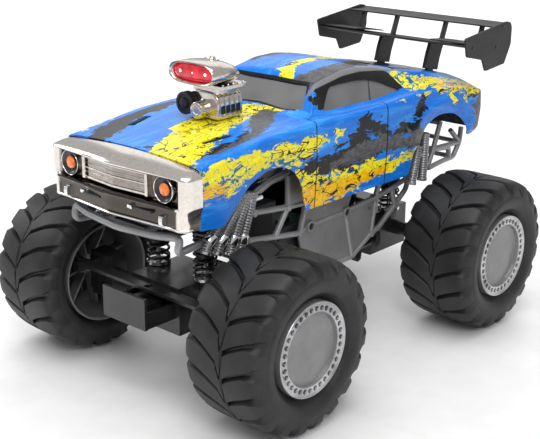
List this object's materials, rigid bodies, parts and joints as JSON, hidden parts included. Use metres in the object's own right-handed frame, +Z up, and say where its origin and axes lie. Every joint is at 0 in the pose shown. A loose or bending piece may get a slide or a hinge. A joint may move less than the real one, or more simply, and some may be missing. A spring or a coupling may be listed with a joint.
{
  "type": "rc monster truck",
  "caption": "Radio-controlled monster truck toy with a muscle-car shell, plated nose and blower, rear wing, tube frames, sprung solid axles and large ribbed tyres.",
  "frame": {"origin": "middle of the footprint on the ground under the truck", "axes": "+Z up, the nose points to -Y, the truck's own left side is +X"},
  "size_m": [0.309, 0.439, 0.2685],
  "materials": {
    "body_paint": "bright blue polycarbonate shell with splashed yellow and black paint",
    "glazing": "flat mid-grey printed glazing",
    "bright_plating": "warm nickel plating on plastic",
    "orange_lamp": "orange lamp in a dark bowl",
    "tail_lamp": "dark red strip lamp",
    "red_lens": "clear red lens with three small lamps behind",
    "matt_black": "fine-textured black",
    "belt_black": "black belt and pulleys",
    "chassis_grey": "dark grey moulded chassis",
    "frame_grey": "satin silver-grey moulding",
    "pack_wrap": "blue shrink wrap",
    "board": "green circuit board",
    "switch_steel": "grey slide switch",
    "axle_black": "black moulded nylon",
    "drive_steel": "turned steel",
    "spring_black": "black spring wire",
    "tyre_rubber": "soft black rubber",
    "rim_grey": "silver-grey wheel with a bright bolt ring"
  },
  "bodies": {
    "chassis": {"body_shell": "body_paint", "window_insert": "glazing", "grille_fascia": "bright_plating", "headlight_left": "orange_lamp", "headlight_right": "orange_lamp", "tail_light_panel": "tail_lamp", "blower_case": "bright_plating", "blower_pulley": "belt_black", "scoop_hat": "bright_plating", "scoop_lens": "red_lens", "rear_wing": "matt_black", "wing_mount": "matt_black", "chassis_pan": "chassis_grey", "side_frame_left": "frame_grey", "side_frame_right": "frame_grey", "front_bumper_bar": "frame_grey", "rear_cage": "frame_grey", "front_stacks_left": "frame_grey", "front_stacks_right": "frame_grey", "rear_stacks_left": "frame_grey", "rear_stacks_right": "frame_grey", "battery_pack": "pack_wrap", "circuit_board": "board", "damper_front_left": "axle_black", "damper_front_right": "axle_black", "damper_rear_left": "axle_black", "damper_rear_right": "axle_black", "spring_front_left": "spring_black", "spring_front_right": "spring_black", "spring_rear_left": "spring_black", "spring_rear_right": "spring_black"},
    "battery_door": {"battery_door": "chassis_grey"},
    "power_switch": {"power_switch": "switch_steel"},
    "front_link": {"front_link_frame": "axle_black"},
    "rear_link": {"rear_link_frame": "axle_black"},
    "front_axle": {"front_axle_housing": "axle_black", "front_motor": "drive_steel", "steering_servo": "axle_black", "shock_rod_front_left": "drive_steel", "shock_rod_front_right": "drive_steel"},
    "steering_arm": {"steering_arm": "axle_black"},
    "tie_rod": {"tie_rod": "axle_black"},
    "front_knuckle_left": {"front_knuckle_left": "axle_black"},
    "front_knuckle_right": {"front_knuckle_right": "axle_black"},
    "front_wheel_left": {"tyre_front_left": "tyre_rubber", "rim_front_left": "rim_grey"},
    "front_wheel_right": {"tyre_front_right": "tyre_rubber", "rim_front_right": "rim_grey"},
    "front_drive_shaft": {"front_drive_gear": "drive_steel"},
    "front_pinion": {"front_pinion": "drive_steel"},
    "rear_axle": {"rear_axle_housing": "axle_black", "rear_motor": "drive_steel", "shock_rod_rear_left": "drive_steel", "shock_rod_rear_right": "drive_steel"},
    "rear_wheels": {"tyre_rear_left": "tyre_rubber", "rim_rear_left": "rim_grey", "tyre_rear_right": "tyre_rubber", "rim_rear_right": "rim_grey", "rear_drive_gear": "drive_steel"},
    "rear_pinion": {"rear_pinion": "drive_steel"}
  },
  "joints": [
    {"name": "front_suspension", "type": "hinge", "parent": "chassis", "child": "front_link", "pos_m": [0, -0.0655, 0.067], "axis": [-1, 0, 0], "range_deg": [-5, 3.5], "stiffness_Nm_per_rad": 15, "springref_deg": -1.15, "deforming": ["spring_front_left", "spring_front_right"]},
    {"name": "rear_suspension", "type": "hinge", "parent": "chassis", "child": "rear_link", "pos_m": [0, 0.0385, 0.067], "axis": [1, 0, 0], "range_deg": [-5, 3.5], "stiffness_Nm_per_rad": 15, "springref_deg": -1.15, "deforming": ["spring_rear_left", "spring_rear_right"]},
    {"name": "front_axle_roll", "type": "hinge", "parent": "front_link", "child": "front_axle", "pos_m": [0, -0.1495, 0.07], "axis": [0, 1, 0], "range_deg": [-3.5, 3.5], "stiffness_Nm_per_rad": 6},
    {"name": "rear_axle_roll", "type": "hinge", "parent": "rear_link", "child": "rear_axle", "pos_m": [0, 0.1225, 0.07], "axis": [0, 1, 0], "range_deg": [-3.5, 3.5], "stiffness_Nm_per_rad": 6},
    {"name": "steer_left", "type": "hinge", "parent": "front_axle", "child": "front_knuckle_left", "pos_m": [0.09, -0.1495, 0.07], "axis": [0, 0, 1], "range_deg": [-20, 20]},
    {"name": "steer_right", "type": "hinge", "parent": "front_axle", "child": "front_knuckle_right", "pos_m": [-0.09, -0.1495, 0.07], "axis": [0, 0, 1], "range_deg": [-20, 20]},
    {"name": "servo_turn", "type": "hinge", "parent": "front_axle", "child": "steering_arm", "pos_m": [0, -0.1935, 0.081], "axis": [0, 0, 1], "range_deg": [-28.89, 28.89]},
    {"name": "tie_rod_slide", "type": "slide", "parent": "front_axle", "child": "tie_rod", "axis": [1, 0, 0], "range_m": [-0.0089, 0.0089]},
    {"name": "wheel_front_left", "type": "hinge", "parent": "front_knuckle_left", "child": "front_wheel_left", "pos_m": [0.117, -0.1495, 0.07], "axis": [1, 0, 0], "continuous": true},
    {"name": "wheel_front_right", "type": "hinge", "parent": "front_knuckle_right", "child": "front_wheel_right", "pos_m": [-0.117, -0.1495, 0.07], "axis": [1, 0, 0], "continuous": true},
    {"name": "front_shaft_turn", "type": "hinge", "parent": "front_axle", "child": "front_drive_shaft", "pos_m": [0, -0.1495, 0.07], "axis": [1, 0, 0], "continuous": true},
    {"name": "front_pinion_turn", "type": "hinge", "parent": "front_axle", "child": "front_pinion", "pos_m": [-0.017, -0.1268, 0.07], "axis": [1, 0, 0], "continuous": true},
    {"name": "wheels_rear", "type": "hinge", "parent": "rear_axle", "child": "rear_wheels", "pos_m": [0, 0.1225, 0.07], "axis": [1, 0, 0], "continuous": true},
    {"name": "rear_pinion_turn", "type": "hinge", "parent": "rear_axle", "child": "rear_pinion", "pos_m": [-0.017, 0.0998, 0.07], "axis": [1, 0, 0], "continuous": true},
    {"name": "battery_door_swing", "type": "hinge", "parent": "chassis", "child": "battery_door", "pos_m": [0, -0.0391, 0.074], "axis": [-1, 0, 0], "range_deg": [0, 100]},
    {"name": "power_switch_slide", "type": "slide", "parent": "chassis", "child": "power_switch", "axis": [1, 0, 0], "range_m": [0, 0.0068]}
  ],
  "couplings": [
    {"joint": "steer_right", "follows": "steer_left", "ratio": 1},
    {"joint": "servo_turn", "follows": "steer_left", "ratio": -1.4444},
    {"joint": "tie_rod_slide", "follows": "steer_left", "m_per_rad": 0.0255},
    {"joint": "wheel_front_right", "follows": "wheel_front_left", "ratio": 1},
    {"joint": "front_shaft_turn", "follows": "wheel_front_left", "ratio": 1},
    {"joint": "front_pinion_turn", "follows": "wheel_front_left", "ratio": -2.5},
    {"joint": "rear_pinion_turn", "follows": "wheels_rear", "ratio": -2.5}
  ]
}
